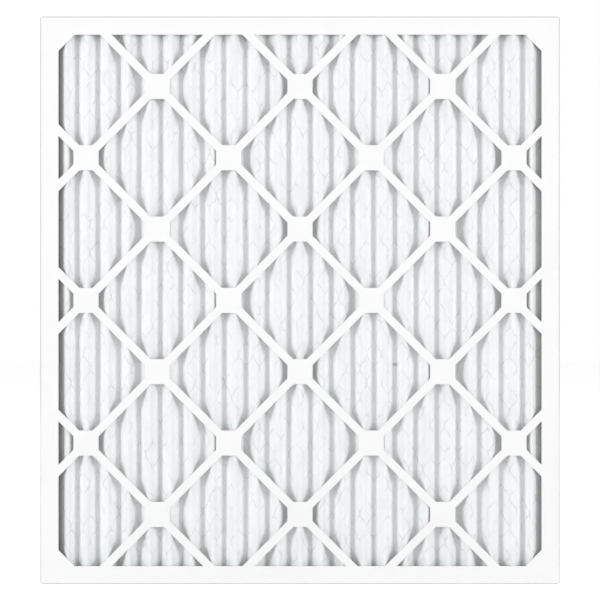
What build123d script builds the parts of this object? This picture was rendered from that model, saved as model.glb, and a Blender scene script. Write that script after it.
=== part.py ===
from build123d import *
import os
from math import asin, atan2, hypot, pi, sin, tan

# A pleated panel air filter of the nominal 22 x 24 x 1 in size, standing on its short edge.
# Two die-cut boards, each folded into a shallow tray, nest into one another and hold a sheet
# of lofty filter media, pleated together with the expanded metal that backs it.
# X is the panel's width, Z its height and Y its depth; air enters at the -Y face.

# Panel over all
panel_width = 546.1
panel_height = 596.9
panel_depth = 19.05

# Board and its folds
board = 0.7
fold_radius = 1.2  # outside of a creased fold
crease_radius = 0.4  # inside of the same fold
wall_short = 0.5  # the outer tray's walls stop this far short of the back face
nest_clearance = 0.3  # between the walls of the nested trays
lap_relief = 1.8  # a top or bottom wall is this much shorter than its tray at each end
glue_tab = 24.0  # corner tab that laps inside the next wall
tab_taper = 3.0

# Die-cut face: border, corner gussets and the diagonal lattice
border = 19.05
corner_gusset = 17.0
lattice_step = 75.0  # from one crossing to the next, across or up
strap_width = 8.7
pad_size = 26.4

# Pleated media
pleat_pitch = 22.4
media_thickness = 2.4
glued_edge = 12.0  # least width of the flat edge that lies on the back tray
glue_line = 0.3  # hot melt between a fold and the lattice that carries it
end_clearance = 0.3  # between the pack's cut ends and the trays

# Expanded metal backing
wire_thickness = 0.4
wire_fold_radius = 0.3  # inside of the metal's fold under a crest
bond_line = 0.2  # adhesive between the media and the metal
wire_setback = 6.0  # the metal stops this far short of the media's glued edges
mesh_rows = 4
mesh_gap_width = 17.0
mesh_strand = 10.0

front_face = Plane(origin=(0, -panel_depth / 2, panel_height / 2), x_dir=(1, 0, 0), z_dir=(0, -1, 0))
back_face = Plane(origin=(0, panel_depth / 2, panel_height / 2), x_dir=(-1, 0, 0), z_dir=(0, 1, 0))

window_width = panel_width - 2 * border
window_height = panel_height - 2 * border
inner_tray_width = panel_width - 2 * (board + nest_clearance)
inner_tray_height = panel_height - 2 * (2 * board + nest_clearance)
inner_tray_depth = panel_depth - board - nest_clearance


def stamped_windows(face):
    """The openings stamped through a tray's face, between its border, straps and pads."""
    columns = int(window_width / 2 // lattice_step)
    rows = int(window_height / 2 // lattice_step)
    straps = columns + rows + 1
    odd_lines = [line for line in range(-straps, straps + 1) if line % 2]
    with BuildSketch(face) as windows:
        Rectangle(window_width, window_height)
        chamfer(windows.vertices(), corner_gusset)
        for line in odd_lines:
            with Locations((0, line * lattice_step)):
                Rectangle(3 * window_height, strap_width, rotation=45, mode=Mode.SUBTRACT)
                Rectangle(3 * window_height, strap_width, rotation=-45, mode=Mode.SUBTRACT)
        for column in range(-columns, columns + 1):
            for row in range(-rows, rows + 1):
                if (column + row) % 2:
                    with Locations((column * lattice_step, row * lattice_step)):
                        Rectangle(pad_size, pad_size, mode=Mode.SUBTRACT)
    return windows.sketch


def glue_tabs(lap, width, depth):
    """Two corner tabs on the inside of a top or bottom wall, where the side walls' ends turn in."""
    root = width / 2 - board
    with BuildSketch(lap) as tabs:
        with BuildLine():
            Polyline(
                (root, board),
                (root - glue_tab, board + tab_taper),
                (root - glue_tab, depth - tab_taper),
                (root, depth),
                close=True,
            )
        make_face()
        mirror(about=Plane.YZ)
    return tabs.sketch


def folded_tray(face, width, height, depth):
    """One die-cut board folded into a tray: stamped face, four walls and four glued corner laps."""
    with BuildPart() as tray:
        with BuildSketch(face):
            Rectangle(width, height)
        extrude(amount=-depth)
        outward = Axis(face.origin, face.z_dir)
        fillet(tray.faces().sort_by(outward)[-1].edges(), fold_radius)

        with BuildSketch(face):
            Rectangle(width, height)
            Rectangle(width - 2 * lap_relief, height, mode=Mode.SUBTRACT)
            RectangleRounded(width, height - 2 * board, fold_radius, mode=Mode.SUBTRACT)
        extrude(amount=-depth, mode=Mode.SUBTRACT)

        with BuildSketch(face.offset(-board)):
            Rectangle(width - 2 * board, height - 2 * board)
        extrude(amount=board - depth, mode=Mode.SUBTRACT)
        floor = tray.edges(Select.LAST).group_by(outward)[-1]
        fillet(floor, crease_radius)

        extrude(stamped_windows(face), amount=-board, mode=Mode.SUBTRACT)
        for side in (1, -1):
            lap = Plane(
                origin=face.origin + side * face.y_dir * (height / 2 - board),
                x_dir=side * face.x_dir,
                z_dir=side * face.y_dir,
            )
            extrude(glue_tabs(lap, width, depth), amount=-board)
    return tray.part


front_frame = folded_tray(front_face, panel_width, panel_height, panel_depth - wall_short)
front_frame.label = "front_frame"

back_frame = folded_tray(back_face, inner_tray_width, inner_tray_height, inner_tray_depth)
back_frame.label = "back_frame"

# The pleated pack between the two faces. The front surface is round at each crest and pinched
# shut in each valley. Every other surface is the front one pushed back through the pack: its
# radius shrinks from there round a crest and grows round a valley.
pack_thickness = media_thickness + bond_line + wire_thickness
crest_radius_front = pack_thickness + wire_fold_radius
crest_centre = -panel_depth / 2 + board + glue_line + crest_radius_front
valley_centre = panel_depth / 2 - board - glue_line - pack_thickness
half_pitch = pleat_pitch / 2
fold_rise = valley_centre - crest_centre
flank_lean = atan2(half_pitch, fold_rise) - asin(crest_radius_front / hypot(half_pitch, fold_rise))
pack_half_width = inner_tray_width / 2 - board - end_clearance
pleats_a_side = int((pack_half_width - half_pitch - glued_edge) // pleat_pitch)
pleats = 2 * pleats_a_side + 1
last_crest = pleats_a_side * pleat_pitch
pack_height = inner_tray_height - 4 * board - 2 * end_clearance
pack_bottom = Plane.XY.offset((panel_height - pack_height) / 2)


def fold_line(through, half_width):
    """The pleated line that lies this far through the pack from the media's front surface."""
    crest_radius = crest_radius_front - through
    crest_y = crest_centre - crest_radius / sin(flank_lean)
    valley_y = valley_centre + through / sin(flank_lean)
    edge_y = valley_centre + through
    foot = last_crest + (edge_y - crest_y) * tan(flank_lean)

    points = [(-half_width, edge_y), (-foot, edge_y)]
    radii = [through]
    for pleat in range(pleats):
        crest_x = pleat * pleat_pitch - last_crest
        points.append((crest_x, crest_y))
        radii.append(crest_radius)
        if pleat < pleats - 1:
            points.append((crest_x + half_pitch, valley_y))
            radii.append(through)
    points += [(foot, edge_y), (half_width, edge_y)]
    radii.append(through)
    return FilletPolyline(*points, radius=radii)


def crease_line(through, half_width):
    """The same line as stiff metal takes it, with a narrow flat between two creases at each fold."""
    crest_radius = crest_radius_front - through
    crease = tan((pi / 2 - flank_lean) / 2)
    edge_y = valley_centre + through
    foot = last_crest + half_pitch - through * crease

    points = [(-half_width, edge_y), (-foot, edge_y)]
    for pleat in range(pleats):
        crest_x = pleat * pleat_pitch - last_crest
        valley_x = crest_x + half_pitch
        points.append((crest_x - crest_radius * crease, crest_centre - crest_radius))
        points.append((crest_x + crest_radius * crease, crest_centre - crest_radius))
        if pleat < pleats - 1:
            points.append((valley_x - through * crease, edge_y))
            points.append((valley_x + through * crease, edge_y))
    points += [(foot, edge_y), (half_width, edge_y)]
    return Polyline(*points)


def pleated_section(line, front, back, half_width):
    """The section of a pleated sheet between two lines of the pack."""
    with BuildSketch(pack_bottom) as section:
        with BuildLine():
            near = line(front, half_width)
            far = line(back, half_width)
            Line(near @ 0, far @ 0)
            Line(near @ 1, far @ 1)
        make_face()
    return section.sketch


with BuildPart() as pleated_media:
    extrude(pleated_section(fold_line, 0, media_thickness, pack_half_width), amount=pack_height)
pleated_media.part.label = "pleated_media"

wire_front = media_thickness + bond_line
wire_section = pleated_section(crease_line, wire_front, pack_thickness, pack_half_width - wire_setback)
with BuildPart() as wire_backing:
    extrude(wire_section, amount=pack_height)
    # Staggered diamond gaps, one column to each valley
    row_pitch = pack_height / mesh_rows
    half_width = mesh_gap_width / 2
    half_height = row_pitch / 2 - mesh_strand
    with BuildSketch(back_face):
        for valley in range(pleats - 1):
            gap_x = (valley - (pleats - 2) / 2) * pleat_pitch
            with Locations((gap_x, 0)):
                with GridLocations(pleat_pitch, row_pitch, 1, mesh_rows - valley % 2):
                    Polygon((-half_width, 0), (0, -half_height), (half_width, 0), (0, half_height))
    extrude(amount=-panel_depth, mode=Mode.SUBTRACT)
wire_backing.part.label = "wire_backing"

os.makedirs("parts", exist_ok=True)
export_step(front_frame, "parts/front_frame.step")
export_step(back_frame, "parts/back_frame.step")
export_step(pleated_media.part, "parts/pleated_media.step")
export_step(wire_backing.part, "parts/wire_backing.step")
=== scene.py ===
"""A pleated panel air filter: a pleated nonwoven sheet on expanded metal, held between two board trays."""

import math

import bpy
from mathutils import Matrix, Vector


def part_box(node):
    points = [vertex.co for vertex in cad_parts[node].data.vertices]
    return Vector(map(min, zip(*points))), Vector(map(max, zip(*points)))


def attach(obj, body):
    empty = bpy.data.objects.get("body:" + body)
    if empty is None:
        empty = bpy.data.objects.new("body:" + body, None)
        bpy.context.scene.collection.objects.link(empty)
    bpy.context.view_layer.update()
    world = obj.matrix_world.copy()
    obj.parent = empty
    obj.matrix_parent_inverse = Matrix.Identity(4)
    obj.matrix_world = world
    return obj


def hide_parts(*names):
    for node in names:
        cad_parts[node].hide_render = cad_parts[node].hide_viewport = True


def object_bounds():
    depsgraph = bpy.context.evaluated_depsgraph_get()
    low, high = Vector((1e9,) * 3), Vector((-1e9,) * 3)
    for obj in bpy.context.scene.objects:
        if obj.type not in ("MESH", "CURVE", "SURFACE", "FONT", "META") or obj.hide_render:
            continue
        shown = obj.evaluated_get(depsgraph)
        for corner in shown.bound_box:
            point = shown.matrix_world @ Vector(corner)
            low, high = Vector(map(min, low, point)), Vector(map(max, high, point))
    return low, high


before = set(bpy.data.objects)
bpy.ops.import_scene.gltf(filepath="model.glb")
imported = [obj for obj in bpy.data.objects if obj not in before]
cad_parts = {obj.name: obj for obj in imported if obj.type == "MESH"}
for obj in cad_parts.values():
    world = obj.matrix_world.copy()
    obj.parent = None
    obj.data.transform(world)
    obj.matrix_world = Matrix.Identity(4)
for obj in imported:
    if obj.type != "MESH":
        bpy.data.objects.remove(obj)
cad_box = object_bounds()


# ---- Pleated media ----
# One sheet of lofty white polyester nonwoven, about 2.4 mm thick, folded by a blade pleater into
# 23 pleats that are round in front and pinched shut in each valley. The metal is glued behind it.

PLEAT_PITCH = 0.0224
HALF_PITCH = PLEAT_PITCH / 2
PLEATS_A_SIDE = 11  # besides the middle one
LAST_CREST = PLEATS_A_SIDE * PLEAT_PITCH
MEDIA_THICKNESS = 0.0024
METAL_THICKNESS = 0.0004
ADHESIVE = 0.0002
PACK_THICKNESS = MEDIA_THICKNESS + ADHESIVE + METAL_THICKNESS
METAL_FOLD_RADIUS = 0.0003  # inside of the metal's fold under a crest
CREST_RADIUS = PACK_THICKNESS + METAL_FOLD_RADIUS

media_low, media_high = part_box("pleated_media")
pack_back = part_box("wire_backing")[1][1]
CREST_CENTRE = media_low[1] + CREST_RADIUS
VALLEY_CENTRE = pack_back - PACK_THICKNESS
FOLD_RISE = VALLEY_CENTRE - CREST_CENTRE
FLANK_LEAN = math.atan2(HALF_PITCH, FOLD_RISE) - math.asin(CREST_RADIUS / math.hypot(HALF_PITCH, FOLD_RISE))
PACK_HEIGHT = media_high[2] - media_low[2]
MID_HEIGHT = (media_low[2] + media_high[2]) / 2
NET_PERIOD = 0.0304  # up the sheet, between two bonds of the expanded metal
NET_START = 0.3027  # height of one bond in the first valley to the right of the middle
NET_COLUMNS = 3  # to a pleat
BOND_SHARE = 0.14  # of the net's period
STRAP_SPACING = 0.075  # across or up, from one crossing of the board's straps to the next

FLOAT = "NodeSocketFloat"
GEOMETRY = "NodeSocketGeometry"
MATERIAL = "NodeSocketMaterial"
VECTOR = "NodeSocketVector"


def place(tree, kind, feeds=None, **settings):
    """Adds a node to a tree, sets it up and feeds its inputs, each by name or by number."""
    node = tree.nodes.new(kind)
    for name, value in settings.items():
        setattr(node, name, value)
    for socket, value in (feeds or {}).items():
        if isinstance(value, bpy.types.NodeSocket):
            tree.links.new(value, node.inputs[socket])
        else:
            node.inputs[socket].default_value = value
    return node


def new_tree(name, kind, inputs, outputs):
    """Starts a node tree with named inputs and outputs; returns it, its input sockets and its end."""
    tree = bpy.data.node_groups.new(name, kind)
    for label, (socket_type, value) in inputs.items():
        socket = tree.interface.new_socket(label, in_out="INPUT", socket_type=socket_type)
        if value is not None:
            socket.default_value = value
    for label, socket_type in outputs.items():
        tree.interface.new_socket(label, in_out="OUTPUT", socket_type=socket_type)
    return tree, place(tree, "NodeGroupInput").outputs, place(tree, "NodeGroupOutput")


def calculator(tree):
    """Arithmetic for one tree: calc("ADD", a, b) adds a math node and returns its result."""

    def calc(operation, *values, clamp=False):
        feeds = dict(enumerate(values))
        return place(tree, "ShaderNodeMath", feeds, operation=operation, use_clamp=clamp).outputs[0]

    return calc


def vector_calc(tree, operation, *vectors):
    """One step of arithmetic on vectors, with its "Vector" or "Value" result."""
    return place(tree, "ShaderNodeVectorMath", dict(enumerate(vectors)), operation=operation).outputs


def parts(tree, vector):
    """The X, Y and Z of a vector."""
    return place(tree, "ShaderNodeSeparateXYZ", {0: vector}).outputs


def combined(tree, x=0.0, y=0.0, z=0.0):
    """A vector put together from its parts."""
    return place(tree, "ShaderNodeCombineXYZ", {0: x, 1: y, 2: z}).outputs[0]


def climb(tree, value, start, stop, least=0.0, shape="SMOOTHSTEP"):
    """Climbs from the least at the start to 1 at the stop, and stays level beyond them."""
    feeds = {0: value, 1: start, 2: stop, 3: least}
    return place(tree, "ShaderNodeMapRange", feeds, interpolation_type=shape).outputs[0]


def grown(name, tree, material):
    """Runs a geometry tree with its own default sizes and keeps what it makes as a plain mesh."""
    piece = bpy.data.objects.new(name, bpy.data.meshes.new(name + ".seed"))
    bpy.context.scene.collection.objects.link(piece)
    modifier = piece.modifiers.new("Grow", "NODES")
    modifier.node_group = tree
    for item in tree.interface.items_tree:
        if item.in_out == "INPUT" and item.name == "Material":
            modifier[item.identifier] = material
    bpy.context.view_layer.update()
    evaluated = piece.evaluated_get(bpy.context.evaluated_depsgraph_get())
    mesh = bpy.data.meshes.new_from_object(evaluated)
    mesh.name = name
    piece.modifiers.clear()
    piece.data = mesh
    return piece


# How far the folds have wandered from their even pitch and depth, for the media and the metal
# glued to it alike. It dies away at both glued edges.
WANDER_CELLS = (38.0, 0.0, 3.0)  # to a metre: each fold wanders by itself, and slowly along its height
HELD_FROM = LAST_CREST + 0.0246  # from here outwards the glued edge doesn't move
HELD_EASE = 0.0134  # the stretch inside that, over which the creep dies away
creep, given, end = new_tree(
    "Fold creep",
    "GeometryNodeTree",
    {
        "Position": (VECTOR, None),
        "Left creep": (FLOAT, 0.0023),  # outwards, at its most half-way to the edge
        "Right creep": (FLOAT, 0.0006),  # inwards, in the same way
        "Left pull": (FLOAT, 0.0014),  # of the last crest, towards the middle
        "Right pull": (FLOAT, 0.0024),
        "Left splay": (FLOAT, 0.004),  # of the outer flank's foot, outwards
        "Right splay": (FLOAT, 0.0115),
        "Wander": (FLOAT, 0.003),  # sideways, between the extremes
        "Depth play": (FLOAT, 0.07),  # of the depth, at most
    },
    {"Position": VECTOR},
)
calc = calculator(creep)
spot = parts(creep, given["Position"])
left_wave = calc("SINE", calc("MULTIPLY", calc("MINIMUM", spot["X"], 0.0), math.pi / LAST_CREST))
right_wave = calc("SINE", calc("MULTIPLY", calc("MAXIMUM", spot["X"], 0.0), math.pi / LAST_CREST))
drift = calc("MULTIPLY", left_wave, given["Left creep"])
drift = calc("SUBTRACT", drift, calc("MULTIPLY", right_wave, given["Right creep"]))
stretched = vector_calc(creep, "MULTIPLY", given["Position"], WANDER_CELLS)["Vector"]
unevenness = place(creep, "ShaderNodeTexNoise", {"Vector": stretched, "Scale": 1.0, "Detail": 1.0})
uneven = parts(creep, unevenness.outputs["Color"])
wander = calc("MULTIPLY", calc("SUBTRACT", uneven["X"], 0.5), given["Wander"])

# The last pleat at each side is pulled towards the middle, and its outer flank splays outwards
right = calc("GREATER_THAN", spot["X"], 0.0)
left = calc("SUBTRACT", 1.0, right)
reach = calc("SUBTRACT", calc("ABSOLUTE", spot["X"]), LAST_CREST - HALF_PITCH)
near_end = climb(creep, reach, 0.0, HALF_PITCH)
pull = calc("MULTIPLY", left, given["Left pull"])
pull = calc("SUBTRACT", pull, calc("MULTIPLY", right, given["Right pull"]))
drift = calc("ADD", drift, calc("MULTIPLY", pull, near_end))
outer = calc("GREATER_THAN", reach, HALF_PITCH)
down_flank = climb(creep, spot["Y"], media_low[1] + PACK_THICKNESS, VALLEY_CENTRE, shape="LINEAR")
splay = calc("MULTIPLY", right, given["Right splay"])
splay = calc("SUBTRACT", splay, calc("MULTIPLY", left, given["Left splay"]))
drift = calc("ADD", drift, calc("MULTIPLY", splay, calc("MULTIPLY", outer, down_flank)))
room = calc("SUBTRACT", HELD_FROM, calc("ABSOLUTE", spot["X"]))
fade = calc("MULTIPLY", room, 1 / HELD_EASE, clamp=True)
moved_x = calc("ADD", spot["X"], calc("MULTIPLY", calc("ADD", drift, wander), fade))
shallow = calc("MULTIPLY", calc("MULTIPLY", uneven["Y"], given["Depth play"]), fade)
moved_y = calc("MULTIPLY", spot["Y"], calc("SUBTRACT", 1.0, shallow))
creep.links.new(combined(creep, moved_x, moved_y, spot["Z"]), end.inputs["Position"])


def laid_on_folds(tree, geometry, folded):
    """Moves the points of a flat piece to their places on the folds, with the folds' creep."""
    crept = place(tree, "GeometryNodeGroup", {"Position": folded}, node_tree=creep)
    feeds = {"Geometry": geometry, "Position": crept.outputs[0]}
    return place(tree, "GeometryNodeSetPosition", feeds).outputs[0]


def end_tree(tree, geometry, material, end):
    """Ends a geometry tree with real geometry in its own material."""
    real = place(tree, "GeometryNodeRealizeInstances", {"Geometry": geometry})
    dressed = place(tree, "GeometryNodeSetMaterial", {"Geometry": real.outputs[0], "Material": material})
    tree.links.new(dressed.outputs[0], end.inputs["Geometry"])


# The sheet starts as a flat slab of fine cells and is laid onto the fold line, its front with the
# fold's own radii and its back with those of a line that far behind.
CELLS_A_PLEAT = 14
SHEET_ROWS = 138
GATHERING = 0.38  # how strongly the cells gather at crests and valleys
SHARP_ANGLE = 0.9  # radians between two faces, past which their edge is shaded sharp
pleater, given, end = new_tree(
    "Pleated sheet",
    "GeometryNodeTree",
    {
        "Pitch": (FLOAT, PLEAT_PITCH),
        "Last crest": (FLOAT, LAST_CREST),
        "Thickness": (FLOAT, MEDIA_THICKNESS),
        "Crest radius": (FLOAT, CREST_RADIUS),
        "Crest centre": (FLOAT, CREST_CENTRE),
        "Valley centre": (FLOAT, VALLEY_CENTRE),
        "Full crest radius": (FLOAT, 0.0049),
        "Swell": (FLOAT, 0.0006),
        "Held fullness": (FLOAT, 0.35),  # under a strap, of 1 in the open
        "Held to": (FLOAT, 0.04),  # share of the way from a strap to the middle between two
        "Full from": (FLOAT, 0.65),  # of the same way
        "Valley radius": (FLOAT, 0.002),
        "Pinched radius": (FLOAT, 0.1),  # what a pinch leaves of the valley's radius
        "Pinched to": (FLOAT, 0.014),  # from the sheet's top or bottom
        "Open from": (FLOAT, 0.023),  # from there too
        "Strap spacing": (FLOAT, STRAP_SPACING),
        "Half width": (FLOAT, media_high[0]),
        "Height": (FLOAT, PACK_HEIGHT),
        "Middle": (FLOAT, MID_HEIGHT),
        "Net start": (FLOAT, NET_START),
        "Net period": (FLOAT, NET_PERIOD),
        "Material": (MATERIAL, None),
    },
    {"Geometry": GEOMETRY},
)
calc = calculator(pleater)
cells = 2 * math.ceil(media_high[0] / PLEAT_PITCH * CELLS_A_PLEAT)
slab_width = calc("MULTIPLY", given["Pitch"], cells / CELLS_A_PLEAT)
slab_size = combined(pleater, slab_width, 1.0, given["Height"])
slab = place(
    pleater,
    "GeometryNodeMeshCube",
    {"Size": slab_size, "Vertices X": cells + 1, "Vertices Y": 2, "Vertices Z": SHEET_ROWS},
)
spot = parts(pleater, place(pleater, "GeometryNodeInputPosition").outputs[0])
through = calc("MULTIPLY", calc("GREATER_THAN", spot["Y"], 0.0), given["Thickness"])
half = calc("MULTIPLY", given["Pitch"], 0.5)
side = calc("MINIMUM", calc("ABSOLUTE", spot["X"]), given["Half width"])


def to_and_fro(calc, turns):
    """Swings between 1 at each whole turn and 0 half-way between two."""
    return calc("ABSOLUTE", calc("MULTIPLY_ADD", calc("FRACT", turns), 2.0, -1.0))


def off_strap(along):
    """From 0 on a strap's own line to 1 half-way between two."""
    return to_and_fro(calc, calc("DIVIDE", along, calc("MULTIPLY", given["Strap spacing"], 2.0)))


# The straps hold the crests back. In the middle of each diamond between them the loft swells out:
# the crest is fuller there, in front only, and the last crest at each side stays slack.
one_way = off_strap(calc("ADD", spot["X"], spot["Z"]))
other_way = off_strap(calc("SUBTRACT", spot["X"], spot["Z"]))
open_share = calc("MINIMUM", one_way, other_way)
in_front = calc("LESS_THAN", spot["Y"], 0.0)
fullness = climb(pleater, open_share, given["Held to"], given["Full from"], given["Held fullness"])
to_last = calc("SUBTRACT", given["Last crest"], calc("ABSOLUTE", spot["X"]))
inner = climb(pleater, to_last, 0.0, half)
fullness = calc("MULTIPLY", calc("MULTIPLY", fullness, inner), in_front)
extra_radius = calc("SUBTRACT", given["Full crest radius"], given["Crest radius"])
front_radius = calc("MULTIPLY_ADD", fullness, extra_radius, given["Crest radius"])
apex = calc("SUBTRACT", given["Crest centre"], given["Crest radius"])
apex = calc("SUBTRACT", apex, calc("MULTIPLY", fullness, given["Swell"]))
crest_centre = calc("ADD", apex, front_radius)
rise = calc("SUBTRACT", given["Valley centre"], crest_centre)
slant = calc("SQRT", calc("ADD", calc("MULTIPLY", half, half), calc("MULTIPLY", rise, rise)))
lean = calc("SUBTRACT", calc("ARCTAN2", half, rise), calc("ARCSINE", calc("DIVIDE", front_radius, slant)))

# Distance from the nearest crest, with the cells gathered at crests and valleys
crest_x = calc("MINIMUM", calc("SNAP", calc("ADD", side, half), given["Pitch"]), given["Last crest"])
from_crest = calc("SUBTRACT", side, crest_x)
share = calc("DIVIDE", calc("ABSOLUTE", from_crest), half)
gather = calc("SUBTRACT", climb(pleater, share, 0.0, 1.0), calc("MINIMUM", share, 1.0))
apart = calc("MULTIPLY", half, calc("MULTIPLY_ADD", gather, GATHERING, share))
folded_x = calc("ADD", crest_x, calc("MULTIPLY", calc("SIGN", from_crest), apart))
folded_x = calc("MULTIPLY", folded_x, calc("SIGN", spot["X"]))


def arc_depth(size, away):
    """How far a circle of this size stands out at this distance from its centre."""
    left_over = calc("SUBTRACT", calc("MULTIPLY", size, size), calc("MULTIPLY", away, away))
    return calc("SQRT", calc("MAXIMUM", left_over, 0.0))


# Depth at that distance: the crest's arc, the straight flank or the valley's arc, which is
# pinched tighter where the sheet's top and bottom ends are held
sine = calc("SINE", lean)
cosine = calc("COSINE", lean)
radius = calc("SUBTRACT", front_radius, through)
crest = calc("SUBTRACT", crest_centre, arc_depth(radius, apart))
flank_start = calc("SUBTRACT", crest_centre, calc("DIVIDE", radius, sine))
flank = calc("ADD", flank_start, calc("DIVIDE", calc("MULTIPLY", apart, cosine), sine))
to_end = calc("SUBTRACT", calc("MULTIPLY", given["Height"], 0.5), calc("ABSOLUTE", spot["Z"]))
unpinched = climb(pleater, to_end, given["Pinched to"], given["Open from"], given["Pinched radius"])
valley_room = calc("MULTIPLY", calc("MULTIPLY", given["Valley radius"], in_front), unpinched)
valley_radius = calc("ADD", through, valley_room)
valley_centre = calc("SUBTRACT", given["Valley centre"], calc("DIVIDE", valley_room, sine))
to_valley = calc("MAXIMUM", calc("SUBTRACT", half, apart), 0.0)
valley = calc("ADD", valley_centre, arc_depth(valley_radius, to_valley))
on_crest = calc("LESS_THAN", apart, calc("MULTIPLY", radius, cosine))
in_valley = calc("LESS_THAN", to_valley, calc("MULTIPLY", valley_radius, cosine))
folded_y = calc("ADD", flank, calc("MULTIPLY", on_crest, calc("SUBTRACT", crest, flank)))
folded_y = calc("ADD", folded_y, calc("MULTIPLY", in_valley, calc("SUBTRACT", valley, flank)))
folded_z = calc("ADD", spot["Z"], given["Middle"])
folded = combined(pleater, folded_x, folded_y, folded_z)

# Where the net lies behind the sheet: whole numbers across are its columns, whole numbers up are bonds
net_u = calc("MULTIPLY_ADD", calc("DIVIDE", folded_x, given["Pitch"]), NET_COLUMNS, NET_COLUMNS / 2)
net_v = calc("DIVIDE", calc("SUBTRACT", folded_z, given["Net start"]), given["Net period"])
marked = place(
    pleater,
    "GeometryNodeStoreNamedAttribute",
    {"Geometry": slab.outputs["Mesh"], "Name": "UVMap", "Value": combined(pleater, net_u, net_v)},
    data_type="FLOAT2",
    domain="CORNER",
)
bent = laid_on_folds(pleater, marked.outputs[0], folded)
smooth = place(pleater, "GeometryNodeSetShadeSmooth", {"Geometry": bent, "Shade Smooth": True})
angle = place(pleater, "GeometryNodeInputMeshEdgeAngle").outputs["Unsigned Angle"]
sharp = calc("GREATER_THAN", angle, SHARP_ANGLE)
creased = place(
    pleater,
    "GeometryNodeSetShadeSmooth",
    {"Geometry": smooth.outputs[0], "Selection": sharp, "Shade Smooth": False},
    domain="EDGE",
)
end_tree(pleater, creased.outputs[0], given["Material"], end)

# Soft variation that the media, the metal and the board all use: broad clouds and a fine grain
mottle, given, end = new_tree(
    "Mottling",
    "ShaderNodeTree",
    {
        "Vector": (VECTOR, None),
        "Cloud size": (FLOAT, 0.03),
        "Grain size": (FLOAT, 0.001),
        "Grain share": (FLOAT, 0.35),
    },
    {"Factor": FLOAT, "Grain": FLOAT},
)
calc = calculator(mottle)
clouds = calc("DIVIDE", 1.0, given["Cloud size"])
cloud = place(mottle, "ShaderNodeTexNoise", {"Vector": given["Vector"], "Scale": clouds, "Detail": 3.0})
grains = calc("DIVIDE", 1.0, given["Grain size"])
grain = place(mottle, "ShaderNodeTexNoise", {"Vector": given["Vector"], "Scale": grains, "Detail": 2.0})
both = place(
    mottle, "ShaderNodeMix", {0: given["Grain share"], 2: cloud.outputs["Fac"], 3: grain.outputs["Fac"]}
)
mottle.links.new(both.outputs[0], end.inputs["Factor"])
mottle.links.new(grain.outputs["Fac"], end.inputs["Grain"])


def mottling(tree, vector, cloud_size, grain_size):
    """The shared mottling on these coordinates, as its (factor, grain)."""
    feeds = {"Vector": vector, "Cloud size": cloud_size, "Grain size": grain_size}
    node = place(tree, "ShaderNodeGroup", feeds, node_tree=mottle)
    return node.outputs["Factor"], node.outputs["Grain"]


def new_material(name):
    """A material with a Principled surface; returns the material, its tree and the surface node."""
    material = bpy.data.materials.new(name)
    material.use_nodes = True
    tree = material.node_tree
    return material, tree, tree.nodes["Principled BSDF"]


def ramp(tree, factor, *stops):
    """A colour ramp between two (position, colour) stops."""
    node = place(tree, "ShaderNodeValToRGB", {0: factor})
    for element, (position, colour) in zip(node.color_ramp.elements, stops):
        element.position = position
        element.color = (*colour, 1.0)
    return node.outputs["Color"]


def covered(tree, share, under, over):
    """A colour with this share of another one over it."""
    return place(tree, "ShaderNodeMix", {0: share, 6: under, 7: over}, data_type="RGBA").outputs[2]


nonwoven, tree, surface = new_material("White nonwoven")
calc = calculator(tree)
here = place(tree, "ShaderNodeTexCoord").outputs["Object"]
CARDING = (1.0, 1.0, 0.35)  # the fibres' clouds are drawn out along the folds
THIN_WHITE = (0.864, 0.884, 0.889)
DENSE_WHITE = (0.95, 0.968, 0.973)
carded = vector_calc(tree, "MULTIPLY", here, CARDING)["Vector"]
cloudy, fuzz = mottling(tree, carded, cloud_size=0.011, grain_size=0.0016)
white = ramp(tree, cloudy, (0.32, THIN_WHITE), (0.68, DENSE_WHITE))

# The metal shows through as a faint grey net, with lines that wander a little and break up
RIPPLE = (0.34, 0.2, 0.0)  # of a column across, and of a period up
HALF_LINE = 0.13  # of a column, with the line's soft edge
SHOWS_ABOVE = 0.42  # of the patchiness
BREAK_EDGE = 4.5  # how sharply a line breaks off
NET_STRENGTH = 0.38
NET_GREY = (0.42, 0.44, 0.46, 1.0)


def strand_swing(calc, turns):
    """A strand's way across its column: level at the bonds, where it runs beside the next one."""
    past_bond = calc("SUBTRACT", to_and_fro(calc, turns), BOND_SHARE)
    return calc("DIVIDE", past_bond, 1 - 2 * BOND_SHARE, clamp=True)


ripple = place(tree, "ShaderNodeTexNoise", {"Vector": here, "Scale": 190.0, "Detail": 1.0}).outputs["Color"]
ripple = vector_calc(tree, "SUBTRACT", ripple, (0.5, 0.5, 0.5))["Vector"]
on_sheet = place(tree, "ShaderNodeUVMap", uv_map="UVMap").outputs[0]
net = parts(tree, vector_calc(tree, "MULTIPLY_ADD", ripple, RIPPLE, on_sheet)["Vector"])
column = calc("FLOOR", net["X"])
swing = strand_swing(calc, calc("ADD", net["Y"], calc("MULTIPLY", column, 0.5)))
off_strand = calc("ABSOLUTE", calc("SUBTRACT", calc("SUBTRACT", net["X"], column), swing))
strand = calc("SUBTRACT", 1.0, calc("DIVIDE", off_strand, HALF_LINE), clamp=True)
patchy = place(tree, "ShaderNodeTexNoise", {"Vector": here, "Scale": 75.0, "Detail": 1.0}).outputs["Fac"]
broken = calc("MULTIPLY", calc("SUBTRACT", patchy, SHOWS_ABOVE), BREAK_EDGE, clamp=True)
shade = calc("MULTIPLY", calc("MULTIPLY", strand, broken), NET_STRENGTH)
netted = covered(tree, shade, white, NET_GREY)

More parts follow.
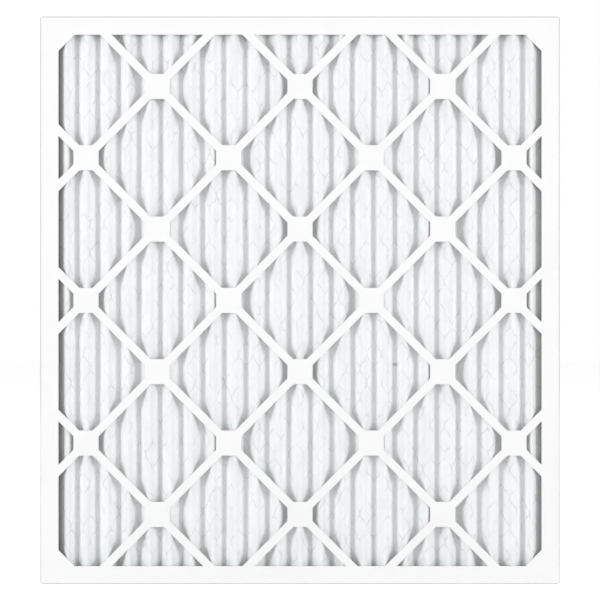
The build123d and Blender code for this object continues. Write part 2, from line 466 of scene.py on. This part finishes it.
# A painted shade spot: a dark grey patch deep in one valley, right of the middle, standing in for the shadow
# there
SHADE_SPOT = (0.1008, 0.0, 0.2307)
SHADE_SPOT_ACROSS = 0.0045
SHADE_SPOT_UP = 0.0026
SHADE_SPOT_STRENGTH = 1.3
SHADE_SPOT_GREY = (0.12, 0.12, 0.125, 1.0)
away = vector_calc(tree, "SUBTRACT", here, SHADE_SPOT)["Vector"]
away = vector_calc(tree, "MULTIPLY", away, (1 / SHADE_SPOT_ACROSS, 0.0, 1 / SHADE_SPOT_UP))["Vector"]
away = vector_calc(tree, "LENGTH", away)["Value"]
shade_spot_share = calc("MULTIPLY", calc("SUBTRACT", 1.0, away, clamp=True), calc("MULTIPLY", patchy, SHADE_SPOT_STRENGTH))
# the painted shade spot, laid over the media's colour
tree.links.new(covered(tree, shade_spot_share, netted, SHADE_SPOT_GREY), surface.inputs["Base Color"])

# Loose fibres on the surface, as a fine relief
FIBRE_CELLS = (900.0, 900.0, 380.0)  # to a metre, before the texture's own scale
FUZZ_SHARE = 0.6
strewn = vector_calc(tree, "MULTIPLY", here, FIBRE_CELLS)["Vector"]
fibres = place(tree, "ShaderNodeTexNoise", {"Vector": strewn, "Detail": 4.0, "Distortion": 1.6})
fibres = calc("MULTIPLY", fibres.outputs["Fac"], 1 - FUZZ_SHARE)
relief = calc("ADD", calc("MULTIPLY", fuzz, FUZZ_SHARE), fibres)
fuzzy = place(tree, "ShaderNodeBump", {"Strength": 0.5, "Distance": 0.0008, "Height": relief})
tree.links.new(fuzzy.outputs[0], surface.inputs["Normal"])
surface.inputs["Roughness"].default_value = 1.0
surface.inputs["Specular IOR Level"].default_value = 0.1

media = grown("pleated_nonwoven", pleater, nonwoven)
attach(media, "root")
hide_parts("pleated_media")


# ---- Expanded metal backing ----
# Slit and stretched galvanised steel, 0.4 mm thick, in a hexagonal net three columns to a pleat.
# It is glued behind the media and folded with it, nearly sharp under each crest.

STRAND_WIDTH = 0.0011
STRAND_STEP = 0.0025
EDGE_REACH = 0.026  # the metal's edge, along the sheet from the last crest
crease_share = math.tan((math.pi / 2 - FLANK_LEAN) / 2)
middle_depth = PACK_THICKNESS - METAL_THICKNESS / 2
crest_flat = (CREST_RADIUS - middle_depth) * crease_share
valley_flat = middle_depth * crease_share
metal_front = CREST_CENTRE - (CREST_RADIUS - middle_depth)
metal_back = VALLEY_CENTRE + middle_depth
flank_length = (metal_back - metal_front) / math.cos(FLANK_LEAN)
sheet_pitch = 2 * (crest_flat + flank_length + valley_flat)
strand_reach = math.floor((PLEATS_A_SIDE + EDGE_REACH / sheet_pitch) * NET_COLUMNS)

netting, given, end = new_tree(
    "Expanded metal",
    "GeometryNodeTree",
    {
        "Pitch": (FLOAT, PLEAT_PITCH),
        "Last crest": (FLOAT, LAST_CREST),
        "Sheet pitch": (FLOAT, sheet_pitch),
        "Crest flat": (FLOAT, crest_flat),
        "Flank length": (FLOAT, flank_length),
        "Flank lean": (FLOAT, FLANK_LEAN),
        "Front": (FLOAT, metal_front),
        "Height": (FLOAT, PACK_HEIGHT),
        "Middle": (FLOAT, MID_HEIGHT),
        "Net start": (FLOAT, NET_START),
        "Net period": (FLOAT, NET_PERIOD),
        "Strand width": (FLOAT, STRAND_WIDTH),
        "Metal thickness": (FLOAT, METAL_THICKNESS),
        "Material": (MATERIAL, None),
    },
    {"Geometry": GEOMETRY},
)
calc = calculator(netting)
half_height = calc("MULTIPLY", given["Height"], 0.5)
foot = combined(netting, y=calc("MULTIPLY", half_height, -1.0))
top = combined(netting, y=half_height)
straight = place(netting, "GeometryNodeCurvePrimitiveLine", {"Start": foot, "End": top})
points_up = round(PACK_HEIGHT / STRAND_STEP)
divided = place(netting, "GeometryNodeResampleCurve", {"Curve": straight.outputs[0], "Count": points_up})
first_strand = (1.0 - strand_reach, 0.0, 0.0)
row = place(
    netting,
    "GeometryNodeMeshLine",
    {"Count": 2 * strand_reach - 1, "Start Location": first_strand, "Offset": (1.0, 0.0, 0.0)},
)
strands = place(
    netting, "GeometryNodeInstanceOnPoints", {"Points": row.outputs[0], "Instance": divided.outputs[0]}
)
loose = place(netting, "GeometryNodeRealizeInstances", {"Geometry": strands.outputs[0]})

# Each strand swings between two columns of the net and lies against its neighbour at the bonds
spot = parts(netting, place(netting, "GeometryNodeInputPosition").outputs[0])
number = calc("ROUND", spot["X"])
up = calc("SUBTRACT", calc("ADD", spot["Y"], given["Middle"]), given["Net start"])
turns = calc("MULTIPLY_ADD", calc("ADD", number, 1.0), 0.5, calc("DIVIDE", up, given["Net period"]))
swing = strand_swing(calc, turns)
column_width = calc("DIVIDE", given["Sheet pitch"], NET_COLUMNS)
inset = calc("DIVIDE", calc("MULTIPLY", given["Strand width"], 0.5), column_width)
swing = calc("ADD", inset, calc("MULTIPLY", swing, calc("SUBTRACT", 1.0, calc("MULTIPLY", inset, 2.0))))
across = calc("MULTIPLY", calc("ADD", calc("SUBTRACT", number, 0.5), swing), column_width)
net_spot = combined(netting, across, spot["Y"])
zigzag = place(netting, "GeometryNodeSetPosition", {"Geometry": loose.outputs[0], "Position": net_spot})
upright = place(netting, "GeometryNodeSetCurveNormal", {"Curve": zigzag.outputs[0]}, mode="Z_UP")
section = place(
    netting,
    "GeometryNodeCurvePrimitiveQuadrilateral",
    {"Width": given["Strand width"], "Height": given["Metal thickness"]},
    mode="RECTANGLE",
)
solid = place(
    netting,
    "GeometryNodeCurveToMesh",
    {"Curve": upright.outputs[0], "Profile Curve": section.outputs[0], "Fill Caps": True},
)

# The flat net is laid onto the creases: crest flat, flank, valley flat
ROUNDING = 1e-6  # leeway for telling whether a length was cut short
spot = parts(netting, place(netting, "GeometryNodeInputPosition").outputs[0])
from_middle = calc("ABSOLUTE", spot["X"])
pleat = calc("ROUND", calc("DIVIDE", from_middle, given["Sheet pitch"]))
pleat = calc("MINIMUM", pleat, calc("DIVIDE", given["Last crest"], given["Pitch"]))
from_crest = calc("SUBTRACT", from_middle, calc("MULTIPLY", pleat, given["Sheet pitch"]))
apart = calc("ABSOLUTE", from_crest)
on_flat = calc("MINIMUM", apart, given["Crest flat"])
past_crest = calc("SUBTRACT", apart, given["Crest flat"])
on_flank = calc("MINIMUM", calc("MAXIMUM", past_crest, 0.0), given["Flank length"])
past_flank = calc("MAXIMUM", calc("SUBTRACT", past_crest, given["Flank length"]), 0.0)
sine = calc("SINE", given["Flank lean"])
cosine = calc("COSINE", given["Flank lean"])
inside_flank = calc("LESS_THAN", calc("ABSOLUTE", calc("SUBTRACT", on_flank, past_crest)), ROUNDING)
local_x = calc("ADD", calc("ADD", on_flat, past_flank), calc("MULTIPLY", on_flank, sine))
local_x = calc("SUBTRACT", local_x, calc("MULTIPLY", inside_flank, calc("MULTIPLY", spot["Z"], cosine)))
straight_back = calc("ADD", calc("MULTIPLY", inside_flank, calc("SUBTRACT", sine, 1.0)), 1.0)
local_y = calc("ADD", calc("MULTIPLY", on_flank, cosine), calc("MULTIPLY", spot["Z"], straight_back))
crest_x = calc("MULTIPLY", pleat, given["Pitch"])
side_x = calc("ADD", crest_x, calc("MULTIPLY", calc("SIGN", from_crest), local_x))
folded_x = calc("MULTIPLY", side_x, calc("SIGN", spot["X"]))
folded_y = calc("ADD", local_y, given["Front"])
folded_z = calc("ADD", spot["Y"], given["Middle"])
folded = combined(netting, folded_x, folded_y, folded_z)
bent = laid_on_folds(netting, solid.outputs[0], folded)
flat = place(netting, "GeometryNodeSetShadeSmooth", {"Geometry": bent, "Shade Smooth": False})
end_tree(netting, flat.outputs[0], given["Material"], end)

DULL_ZINC = (0.5, 0.52, 0.54)
BRIGHT_ZINC = (0.68, 0.69, 0.7)
LEAST_ROUGH = 0.28
ROUGHER = 0.3  # by this much at the brightest spangles
steel, tree, surface = new_material("Galvanised steel")
calc = calculator(tree)
here = place(tree, "ShaderNodeTexCoord").outputs["Object"]
cloudy, grain = mottling(tree, here, cloud_size=0.012, grain_size=0.0006)
tree.links.new(ramp(tree, cloudy, (0.3, DULL_ZINC), (0.7, BRIGHT_ZINC)), surface.inputs["Base Color"])
tree.links.new(calc("MULTIPLY_ADD", cloudy, ROUGHER, LEAST_ROUGH), surface.inputs["Roughness"])
surface.inputs["Metallic"].default_value = 0.9
etched = place(tree, "ShaderNodeBump", {"Strength": 0.25, "Distance": 0.0002, "Height": grain})
tree.links.new(etched.outputs[0], surface.inputs["Normal"])

metal = grown("expanded_metal_net", netting, steel)
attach(metal, "root")
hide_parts("wire_backing")


# ---- Board trays ----
# Two die-cut trays of 0.7 mm recycled board, clay-coated white outside, raw and brown-grey inside,
# creased, folded and glued at the corners, one nested in the other. The CAD nodes give their shapes.

COAT_SHADE = (0.9, 0.901, 0.903)
COAT_WHITE = (0.92, 0.92, 0.92)
DARK_FIBRE = (0.2, 0.18, 0.17)
LIGHT_FIBRE = (0.36, 0.33, 0.31)
board, tree, surface = new_material("Clay-coated board")
calc = calculator(tree)
coordinates = place(tree, "ShaderNodeTexCoord").outputs
here = coordinates["Object"]
from_centre = vector_calc(tree, "SUBTRACT", here, (0.0, 0.0, MID_HEIGHT))["Vector"]
outward = vector_calc(tree, "DOT_PRODUCT", coordinates["Normal"], from_centre)["Value"]
outside = calc("GREATER_THAN", outward, 0.0)
cloudy, grain = mottling(tree, here, cloud_size=0.05, grain_size=0.0012)
coat = ramp(tree, cloudy, (0.3, COAT_SHADE), (0.7, COAT_WHITE))
flecks = place(tree, "ShaderNodeTexNoise", {"Vector": here, "Scale": 1500.0, "Detail": 3.0}).outputs["Fac"]
raw = ramp(tree, flecks, (0.35, DARK_FIBRE), (0.65, LIGHT_FIBRE))
paper = covered(tree, outside, raw, coat)

# The stamped edges of the face show the grey core between its plies
CORE_GREY = (0.55, 0.52, 0.49, 1.0)
CORE_SHOWS = 0.8
STAMPED_DEPTH = 0.0009  # from the face, a little more than the board's own thickness
SIDEWAYS = 0.4  # the most that a stamped edge is turned to the front or back
FOLDED_RIM = 0.01  # the outermost edges are folded, not stamped
spot = parts(tree, here)
facing = parts(tree, coordinates["Normal"])
face_on = calc("ABSOLUTE", facing["Y"])  # 1 on the front and back, 0 on walls and stamped edges
face_depth = abs(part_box("front_frame")[0][1])
in_face = calc("GREATER_THAN", calc("ABSOLUTE", spot["Y"]), face_depth - STAMPED_DEPTH)
within = calc("LESS_THAN", calc("ABSOLUTE", spot["X"]), cad_box[1][0] - FOLDED_RIM)
stamped = calc("MULTIPLY", calc("MULTIPLY", in_face, calc("LESS_THAN", face_on, SIDEWAYS)), within)
cut = covered(tree, calc("MULTIPLY", stamped, CORE_SHOWS), paper, CORE_GREY)

# Painted shade on each rounded fold between the face and the wall, with a little real crazing of the coating
# there: a dark grey over the coat
CRAZED_AND_SHADED_GREY = (0.27, 0.26, 0.25, 1.0)
CRAZING_AND_SHADE = 0.9
FACE_ENDS = 0.95  # how far face on the coating is where its painted shade and crazing start
FACE_EDGE = 12.0  # how sharply that starts
WALL_STARTS = 0.1
WALL_EDGE = 6.0
off_face = calc("MULTIPLY", calc("SUBTRACT", FACE_ENDS, face_on), FACE_EDGE, clamp=True)
off_wall = calc("MULTIPLY", calc("SUBTRACT", face_on, WALL_STARTS), WALL_EDGE, clamp=True)
crazing_and_fold_shade = calc("MULTIPLY", calc("MULTIPLY", off_face, off_wall), calc("MULTIPLY", outside, CRAZING_AND_SHADE))
# the painted fold shade, with some crazing, laid over the board's colour
tree.links.new(covered(tree, crazing_and_fold_shade, cut, CRAZED_AND_SHADED_GREY), surface.inputs["Base Color"])

RAW_ROUGHNESS = 0.85
COAT_SMOOTHER = 0.3
roughness = calc("SUBTRACT", RAW_ROUGHNESS, calc("MULTIPLY", outside, COAT_SMOOTHER))
tree.links.new(roughness, surface.inputs["Roughness"])
surface.inputs["Specular IOR Level"].default_value = 0.3
press = place(tree, "ShaderNodeBump", {"Strength": 0.12, "Distance": 0.0002, "Height": grain})
tree.links.new(press.outputs[0], surface.inputs["Normal"])

for tray in ("front_frame", "back_frame"):
    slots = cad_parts[tray].data.materials
    slots.clear()
    slots.append(board)


# ---- Floor, light and camera ----
# A white studio: a plain floor and background, one broad soft lamp at each side, two behind for the
# back, and a weak one in front that lifts the valleys.

SPREAD = 6.0
FLOOR_LIT = 0.85  # the floor's shade for the light that it passes on
FLOOR_SEEN = 0.45  # its shade as it is seen, under the glow
FLOOR_GLOW = 0.8
AMBIENT = 0.4
floor_mesh = bpy.data.meshes.new("floor")
corners = [(-SPREAD, -SPREAD, 0.0), (SPREAD, -SPREAD, 0.0), (SPREAD, SPREAD, 0.0), (-SPREAD, SPREAD, 0.0)]
floor_mesh.from_pydata(corners, [], [(0, 1, 2, 3)])
floor = bpy.data.objects.new("floor", floor_mesh)
bpy.context.scene.collection.objects.link(floor)


def seen_as_white(calc, rays):
    """1 for the rays that show the studio itself: the camera's, and those that metal or glass passes on."""
    seen = calc("MAXIMUM", rays["Is Camera Ray"], rays["Is Glossy Ray"])
    return calc("MAXIMUM", seen, rays["Is Transmission Ray"])


paint, tree, surface = new_material("Studio floor")
surface.inputs["Roughness"].default_value = 0.9
surface.inputs["Specular IOR Level"].default_value = 0.0
surface.inputs["Emission Color"].default_value = (1.0, 1.0, 1.0, 1.0)
calc = calculator(tree)
seen = seen_as_white(calc, place(tree, "ShaderNodeLightPath").outputs)
floor_shade = calc("MULTIPLY_ADD", seen, FLOOR_SEEN - FLOOR_LIT, FLOOR_LIT)
tree.links.new(floor_shade, surface.inputs["Base Color"])
tree.links.new(calc("MULTIPLY", seen, FLOOR_GLOW), surface.inputs["Emission Strength"])
floor.data.materials.append(paint)

world = bpy.data.worlds.new("Studio")
bpy.context.scene.world = world
world.use_nodes = True
tree = world.node_tree
calc = calculator(tree)
seen = seen_as_white(calc, place(tree, "ShaderNodeLightPath").outputs)
brightness = calc("MULTIPLY_ADD", seen, 1.0 - AMBIENT, AMBIENT)
background = tree.nodes["Background"]
tree.links.new(brightness, background.inputs["Strength"])
background.inputs["Color"].default_value = (1.0, 1.0, 1.0, 1.0)

middle = (cad_box[0] + cad_box[1]) / 2


def soft_lamp(name, size, power, location):
    """A square area lamp that points at the panel's middle."""
    data = bpy.data.lights.new(name, "AREA")
    data.shape = "SQUARE"
    data.size = size
    data.energy = power
    lamp = bpy.data.objects.new(name, data)
    bpy.context.scene.collection.objects.link(lamp)
    lamp.location = location
    lamp.rotation_euler = (middle - lamp.location).to_track_quat("-Z", "Y").to_euler()


soft_lamp("key", size=1.35, power=57.5, location=(-3.05, -2.3, 0.7))
soft_lamp("fill", size=1.35, power=51.5, location=(3.05, -2.3, 0.7))
soft_lamp("front", size=1.0, power=13.0, location=(0.0, -3.6, 0.6))
soft_lamp("back_key", size=1.7, power=34.0, location=(1.9, 1.9, 1.1))
soft_lamp("back_fill", size=1.7, power=28.0, location=(-1.9, 1.9, 1.1))

CAMERA_DISTANCE = 1.652  # from the front face
CAMERA_HEIGHT = 0.29887
SENSOR = 36.0  # in mm, as the lens
LENS = 94.27
camera_data = bpy.data.cameras.new("camera")
camera_data.sensor_width = SENSOR
camera_data.lens = LENS
camera = bpy.data.objects.new("camera", camera_data)
bpy.context.scene.collection.objects.link(camera)
camera.location = (0.0, cad_box[0][1] - CAMERA_DISTANCE, CAMERA_HEIGHT)
camera.rotation_euler = (math.pi / 2, 0.0, 0.0)
bpy.context.scene.camera = camera
bpy.context.scene.view_settings.view_transform = "Standard"
